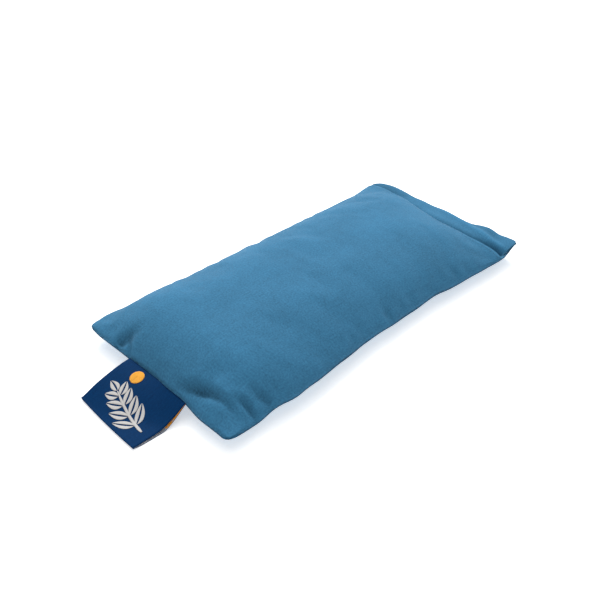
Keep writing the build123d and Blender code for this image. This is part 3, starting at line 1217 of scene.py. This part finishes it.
@dataclass
class InnerPouch:
    """The undyed cotton pouch and the linseed in it."""

    form: BagForm
    palette: Palette
    near: float
    far: float
    half_width: float
    floor: float = 1.25
    under_cover: float = 2.3
    cloth: float = 0.45
    grain: float = 1.7
    lip: float = 0.35
    seed_inset: float = 1.4
    stitches: StitchRow = StitchRow(radius=0.16)
    closing_stitches: StitchRow = StitchRow(pitch=2.7, length=2.0)

    def grid(self, inset: float) -> tuple[Array, Array, Array, Array]:
        """Lay out places on the pouch, drawn in by an inset.

        Args:
            inset: how far in from the pouch's outside.

        Returns:
            Places along and across it, and shares of its half length and half width.
        """
        near, far, half = self.near + inset, self.far - inset, self.half_width - inset
        us = np.linspace(-1, 1, int((far - near) / self.grain))
        u, t = np.meshgrid(us, np.linspace(-1, 1, int(2 * half / self.grain)), indexing="ij")
        x = (near + far) / 2 + (far - near) / 2 * u - 1.3 * u ** 5 * (1 - t ** 2)
        return x, (half - 1.6 * (1 - np.abs(u) ** 3)) * t, u, t

    def surfaces(self, inset: float) -> tuple[Array, Array, Array]:
        """Work out the pouch's top and underside.

        Args:
            inset: how far in from the pouch's outside, for the filling.

        Returns:
            The two grids and the relief.
        """
        form = self.form
        x, y, u, t = self.grid(inset)
        share = np.clip(1 - np.abs(t) ** 4, 0, 1) ** 0.9 * (np.clip(1 - np.abs(u) ** 8, 0, 1) ** 0.8)
        own = form.seam + self.lip + (form.height - form.seam - 1.5) * share - inset
        limit = form.top(x, y / form.side(x))[0] - self.under_cover - inset
        edge = np.minimum(self.half_width * (1 - np.abs(t)), (self.far - self.near) / 2 * (1 - np.abs(u)))
        puckers = 0.45 * form.puckers.at(x * 0.7, y * 0.7 + 20) * np.exp(-np.clip(edge, 0, None) / 4.5)
        relief = 0.25 * form.seeds.at(x + 9, y - 5) + puckers
        top = np.minimum(own, limit) + relief * smoothstep(0.0, 3.0, edge)
        top = np.maximum(top, form.seam + self.lip * smoothstep(1.5, 0.0, edge))
        low = np.clip(1 - np.abs(t) ** 7, 0, 1) ** 0.9 * np.clip(1 - np.abs(u) ** 14, 0, 1) ** 0.9
        base = (form.seam - self.lip) - (form.seam - self.lip - self.floor - inset) * low
        return form.shaped(np.stack([x, y, top], 2)), form.shaped(np.stack([x, y, base], 2)), relief

    def panel(self, name: str, points: Array, relief: Array, up: bool) -> Object:
        """Make one half of the pouch."""
        points, relief = with_lips(points, relief, 0.7, -self.lip if up else self.lip, (True, True))
        piece = Sheet(points, relief, flip=not up).piece(name, self.cloth)
        seat(piece, Slot.POUCH, "inner_pillow", f"inner_{name}", self.palette.pouch)
        return piece

    def build(self) -> list[Object]:
        """Make the pouch's two halves, its threads and its filling."""
        top, base, relief = self.surfaces(0.0)
        upper = self.panel("pouch_top", top, relief, True)
        lower = self.panel("pouch_bottom", base, relief * 0.5, False)
        return [upper, lower, *self.threads(), self.filling()]

    def threads(self) -> list[Object]:
        """Make the stitches along the pouch's long seams, and those that close its far end."""
        x, y, _, _ = self.grid(0.0)
        runs = []
        for side, column in ((-1, 0), (1, -1)):
            path = self.form.path(x[3:-3, column], y[3:-3, column] - side * 0.2, self.form.seam)
            runs.append(self.stitches.sew("pouch_stitches", path, (0.0, side, 0.0), 51 + side))
        path = np.stack([x[-1, 2:-2] - 0.2, y[-1, 2:-2], 0 * x[-1, 2:-2] + self.form.seam], 1)
        closing = self.closing_stitches.sew("pouch_closing_stitches", path, (1.0, 0.0, 0.0), 55)
        pairs = ((joined(runs), "inner_pouch_seam_thread"), (closing, "inner_pouch_closing_thread"))
        thread = self.palette.pouch_thread
        return [seat(piece, Slot.POUCH_THREAD, "inner_pillow", node, thread) for piece, node in pairs]

    def filling(self) -> Object:
        """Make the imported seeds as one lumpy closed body."""
        top, base, _ = self.surfaces(self.seed_inset)
        lumps = Unevenness(61, 2.2).at(top[..., 0], top[..., 1])
        middle, room = (top[..., 2] + base[..., 2]) / 2, top[..., 2] - base[..., 2]
        depth = np.clip(room - 1.6 + 0.25 * lumps * smoothstep(3.0, 6.0, room), 0.0, None) / 2
        top[..., 2], base[..., 2] = middle + depth, middle - depth
        piece = joined([Sheet(top).piece("linseed"), Sheet(base, flip=True).piece("linseed_under")])
        seat(piece, Slot.SEEDS, "inner_pillow", "linseed_filling", self.palette.seeds)
        return piece


# ---------------------------------------------------------------- the label


@dataclass
class LoopLabel:
    """Woven label folded in half, its two ends in the near seam, with a small leaf sprig on it."""

    palette: Palette
    root: float
    fold: float
    low_y: float
    high_y: float
    seam: float
    cloth: float = 0.36
    in_seam: float = 1.6
    fold_radius: float = 0.5
    fold_bow: float = 0.5
    fold_skew: float = 1.7
    left_bow: float = 1.5
    right_sag: float = 3.4
    ply_gap: float = 0.85
    right_gap: float = 1.1
    right_slip: float = 0.6
    rows: int = 44
    columns: int = 56
    thread_depth: float = 0.08

    def upper(self, a: Array, b: Array) -> Array:
        """Place points on the upper ply.

        Args:
            a: shares of the way from the seam to the fold.
            b: shares of the width, from -1 on the right to 1 on the left.

        Returns:
            The points, in millimetres.
        """
        start, way = self.root + self.in_seam, np.clip(a, 0, 1)
        fold = self.fold + self.fold_radius - self.fold_bow * (1 - b * b) - self.fold_skew * (1 - b) / 2
        x = start + (fold - start) * a
        y = (self.low_y + self.high_y) / 2 + (self.high_y - self.low_y) / 2 * b
        chord = (self.seam + self.cloth) * (1 - a) + (2 * self.fold_radius + 0.15) * a
        bow = self.left_bow * smoothstep(-0.4, 1.0, b) * np.sin(math.pi * way ** 0.9)
        sag = self.right_sag * smoothstep(0.35, -1.0, b) * np.sin(math.pi * way ** 1.15)
        wave = 0.18 * np.sin(7.0 * a + 2.1 * b) * np.sin(math.pi * a)
        lowest = 2 * self.fold_radius + 0.25 + 0.3 * (1 - a)
        z = lowest + np.log1p(np.exp((chord + bow - sag + wave - lowest) * 3.0)) / 3.0
        return np.stack([x, y, z], axis=-1)

    def lower(self, a: Array, b: Array) -> Array:
        """Place points on the lower ply, a little out of line with the upper one."""
        points, arch = self.upper(a, b), np.sin(math.pi * a)
        gap = self.ply_gap + self.right_gap * smoothstep(0.2, -1.0, b) * arch
        points[..., 2] = np.maximum(points[..., 2] - gap, 0.06)
        points[..., 1] -= self.right_slip * arch * smoothstep(0.5, -1.0, b)
        return points

    def build(self) -> list[Object]:
        """Make the folded ribbon and what is sewn on it."""
        a, b = np.meshgrid(np.linspace(0, 1, self.rows), np.linspace(-1, 1, self.columns), indexing="ij")
        upper, lower = self.upper(a, b), self.lower(a, b)
        middle, radius = (upper[-1] + lower[-1]) / 2, (upper[-1, :, 2] - lower[-1, :, 2])[:, None] / 2
        angles = np.linspace(0, math.pi, 9)[1:-1]
        turn = [middle + radius * np.array([[-math.sin(angle), 0.0, math.cos(angle)]]) for angle in angles]
        points = np.concatenate([upper, np.stack(turn), lower[::-1]])
        piece = Sheet(points, flip=True).piece("label_ribbon", self.cloth, 1)
        seat(piece, Slot.LABEL, None, "loop_label", *self.palette.label)
        length = float(np.linalg.norm(np.diff(points[:, self.columns // 2], axis=0), axis=1).sum())
        width = self.high_y - self.low_y
        width * MM
        start, end = (((self.root + step) * MM, 0.0, self.seam * MM) for step in (0.9, -3.5))
        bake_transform(piece)
        LOG.info("label ribbon: %.1f by %.1f mm flat", width, length)
        return [piece, *self.motif()]

    def on_ply(self, flat: Array, lift: Array) -> Array:
        """Lay flat points on the upper ply.

        Args:
            flat: n by m by 2, shares from the seam to the fold and across the width.
            lift: how far each point stands off the ply in millimetres.

        Returns:
            The points in millimetres.
        """
        a, b = flat[..., 0], flat[..., 1]
        points = self.upper(a, b)
        up = np.cross(self.upper(a, b + 0.01) - points, self.upper(a + 0.01, b) - points)
        up = up / np.linalg.norm(up, axis=-1, keepdims=True)
        return points + up * np.sign(up[..., 2:3]) * lift[..., None]

    def leaf(self, base: Array, heading: float, length: float, width: float, side: int) -> list[Array]:
        """Outline a leaf as two grids, each from its rib to one edge.

        Args:
            base: where the leaf starts, in millimetres from the middle of the ply.
            heading: the way it points, in degrees from the fold's direction.
            length: its length.
            width: its full width.
            side: which side of the stem, 1 or -1, for the way the leaf bends.

        Returns:
            Points in millimetres on the flat ply, each n by m by 2.
        """
        along, out = np.linspace(0, 1, 22)[:, None], np.linspace(0.13, 1, 8)[None, :]
        swell = np.sin(math.pi * along ** 0.8) ** 0.85 * width / 2
        p = 0.8 + along * length + 0 * out
        cos, sin = math.cos(math.radians(heading)), math.sin(math.radians(heading))
        halves = []
        for half in (1, -1):
            q = half * (0.16 + swell * out) - side * 0.14 * length * (along ** 2)
            halves.append(np.stack([base[0] + p * cos - q * sin, base[1] + p * sin + q * cos], axis=2))
        return halves

    @staticmethod
    def stroke(route: Array, width: float) -> Array:
        """Outline a tapered stroke along a route, n by 5 by 2."""
        way = np.gradient(route, axis=0)
        way = way / np.linalg.norm(way, axis=1, keepdims=True)
        side = np.stack([-way[:, 1], way[:, 0]], axis=1)
        taper = np.interp(np.linspace(0, 1, len(route)), [0, 0.08, 0.8, 1], [0.5, 1, 0.8, 0.3])
        offsets = np.linspace(-0.5, 0.5, 5)
        return route[:, None] + side[:, None] * offsets[None, :, None] * (width * taper)[:, None, None]

    @staticmethod
    def disc(centre: tuple[float, float], radius: float) -> Array:
        """Outline a disc as a grid of rings, n by m by 2."""
        turn, rings = np.linspace(0, 2 * math.pi, 33), np.linspace(0.02, 1, 7)
        circle = np.stack([np.outer(rings, np.cos(turn)), np.outer(rings, np.sin(turn))], axis=2)
        return centre + radius * circle

    def sewn(self, name: str, shapes: list[Array], material: Material) -> Object:
        """Make raised satin stitch of flat shapes.

        Args:
            name: the piece's name.
            shapes: grids in millimetres on the flat ply.
            material: the finish.

        Returns:
            The object, which rides on the label.
        """
        span = np.array([self.root - self.fold, (self.high_y - self.low_y) / 2])
        runs = []
        for shape in shapes:
            flat = shape / span + (0.53, 0.0)
            rows, columns = flat.shape[:2]
            across = np.sin(np.linspace(0.12, math.pi - 0.12, columns))[None, :] * np.ones((rows, 1))
            runs.append(Sheet(self.on_ply(flat, 0.04 + 0.10 * across ** 0.5)).piece(name))
        piece = joined(runs)
        solid = piece.modifiers.new("thread depth", "SOLIDIFY")
        solid.thickness = self.thread_depth * MM
        solid.offset = 0
        return seat(piece, Slot.LABEL, "label", None, material)

    def motif(self) -> list[Object]:
        """Make the leaf sprig and the berry above it."""
        start, bend, tip = np.array([5.0, -15.0]), np.array([4.2, -3.0]), np.array([0.6, 8.6])
        share = np.linspace(0, 1, 48)[:, None]
        stem = start * (1 - share) ** 2 + bend * 2 * share * (1 - share) + tip * share ** 2
        way = np.roll(stem, -1, axis=0) - np.roll(stem, 1, axis=0)
        headings = np.degrees(np.arctan2(way[:, 1], way[:, 0]))
        shapes = [self.stroke(stem, 1.25)]
        for index, place in enumerate((9, 20, 31, 41)):
            for side in (1, -1):
                shapes += self.leaf(stem[place], headings[place] + side * 50.0, 8.8 - 0.9 * index, 3.5, side)
        shapes += self.leaf(stem[-2], headings[-2], 6.2, 3.2, 1)
        sprig = self.sewn("label_sprig", shapes, self.palette.motif)
        return [sprig, self.sewn("label_berry", [self.disc((-8.4, 7.6), 3.1)], self.palette.dot)]


# ---------------------------------------------------------------- studio


@dataclass(frozen=True)
class Viewpoint:
    """Where the camera stands, in millimetres and degrees."""

    target: Triple = (-11.99, 3.78, 0.0)
    azimuth: float = -48.63
    elevation: float = 35.36
    roll: float = 3.35
    distance: float = 385.4
    lens: float = 44.1

    def place(self) -> None:
        """Put the scene's camera there."""
        data = bpy.data.cameras.new("camera")
        data.lens = self.lens
        data.sensor_width = 36.0
        data.clip_start = 0.01
        camera = new_object("camera", data)
        a, e, r = (math.radians(v) for v in (self.azimuth, self.elevation, self.roll))
        back = Vector((math.sin(a) * math.cos(e), -math.cos(a) * math.cos(e), math.sin(e)))
        level = Vector((math.cos(a), math.sin(a), 0.0))
        up = back.cross(level)
        right, top = level * math.cos(r) + up * math.sin(r), up * math.cos(r) - level * math.sin(r)
        turn = Matrix((right, top, back)).transposed().to_4x4()
        camera.matrix_world = Matrix.Translation((Vector(self.target) + back * self.distance) * MM) @ turn
        bpy.context.scene.camera = camera


@dataclass(frozen=True)
class SoftLight:
    """A large area light aimed at the pillow."""

    name: str
    place: Triple
    size: float
    power: float
    colour: Triple = (1.0, 1.0, 1.0)

    def build(self) -> None:
        """Hang the light."""
        data = bpy.data.lights.new(self.name, "AREA")
        data.shape = "SQUARE"
        data.size = self.size
        data.energy = self.power
        data.color = self.colour
        made = new_object(self.name, data)
        made.location = self.place
        made.rotation_mode = "QUATERNION"
        made.rotation_quaternion = Vector(self.place).to_track_quat("Z", "Y")


@dataclass(frozen=True)
class Studio:
    """A white table top under soft daylight lamps."""

    floor_size: float = 6.0
    floor_colour: Triple = (0.93, 0.93, 0.93)
    glow: float = 0.5
    sky: float = 0.5
    lights: tuple[SoftLight, ...] = (
        SoftLight("window", (0.85, 1.0, 1.35), 1.1, 46.0, (1.0, 0.99, 0.97)),
        SoftLight("overhead", (-0.1, 0.2, 1.9), 1.6, 8.0),
    )

    def build(self) -> None:
        """Lay the floor, hang the lights and light the room."""
        white = (1.0, 1.0, 1.0, 1.0)
        half = self.floor_size / 2
        mesh = bpy.data.meshes.new("table_top")
        corners = [(-half, -half, 0.0), (half, -half, 0.0), (half, half, 0.0), (-half, half, 0.0)]
        mesh.from_pydata(corners, [], [[0, 1, 2, 3]])
        floor = new_object("table_top", mesh)
        glow = {"Emission_Color": white, "Emission_Strength": self.glow}
        paint = Shader("white table top", Roughness=0.9, Specular_IOR_Level=0.1, **glow)
        tone = paint.noise(paint.solid(), 3.0) * 0.01 + 0.995
        paint.feed("Base Color", paint.tinted(self.floor_colour, tone))
        floor.data.materials.append(paint.material)
        for light in self.lights:
            light.build()
        world = bpy.data.worlds.new("room")
        world.use_nodes = True
        background = world.node_tree.nodes["Background"]
        background.inputs[0].default_value = white
        background.inputs[1].default_value = self.sky
        bpy.context.scene.world = world
        bpy.context.scene.view_settings.view_transform = "Standard"


# ---------------------------------------------------------------- putting it together


def span(node: str, axis: int) -> tuple[float, float]:
    """Return a node's lowest and highest place along an axis, in millimetres."""
    low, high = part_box(node)
    return low[axis] / MM, high[axis] / MM


def main() -> None:
    """Build every piece around the frame, in order."""
    logging.basicConfig(level=logging.INFO, format="%(name)s %(message)s")
    Viewpoint().place()
    Studio().build()
    palette = Palette()

    near, far = span("cover_bottom_panel", 0)[0], span("closure_flap", 0)[1]
    half_width, seam = span("cover_bottom_panel", 1)[1], span("cover_bottom_panel", 2)[1]
    height, hem = span("cover_top_panel", 2)[1], span("cover_top_panel", 0)[1]
    form = BagForm(near, far, half_width, seam, height, hem)
    form.settled = Settling(form)

    joints = {joint["name"]: joint for joint in frame["joints"]}
    hinge, slide = joints["closure_flap_hinge"], joints["inner_slide"]
    ratio = frame["record"]["behaviour"]["couplings"][0]["ratio"]
    flap = ClosureFlap(form, palette, Vector(hinge["pos_m"]), slide["range_m"][1] * ratio)
    pouch = InnerPouch(form, palette, *span("inner_pouch_top", 0), span("inner_pouch_top", 1)[1])
    fold, root = span("loop_label", 0)
    label_y = span("loop_label", 1)
    label = LoopLabel(palette, root, fold, *label_y, seam)

    for piece in [*Cover(form, palette).build(label_y), *flap.build(), *pouch.build(), *label.build()]:
        LOG.info("%s: %d points", piece.name, len(piece.data.vertices))


if __name__ == "__main__":
    main()
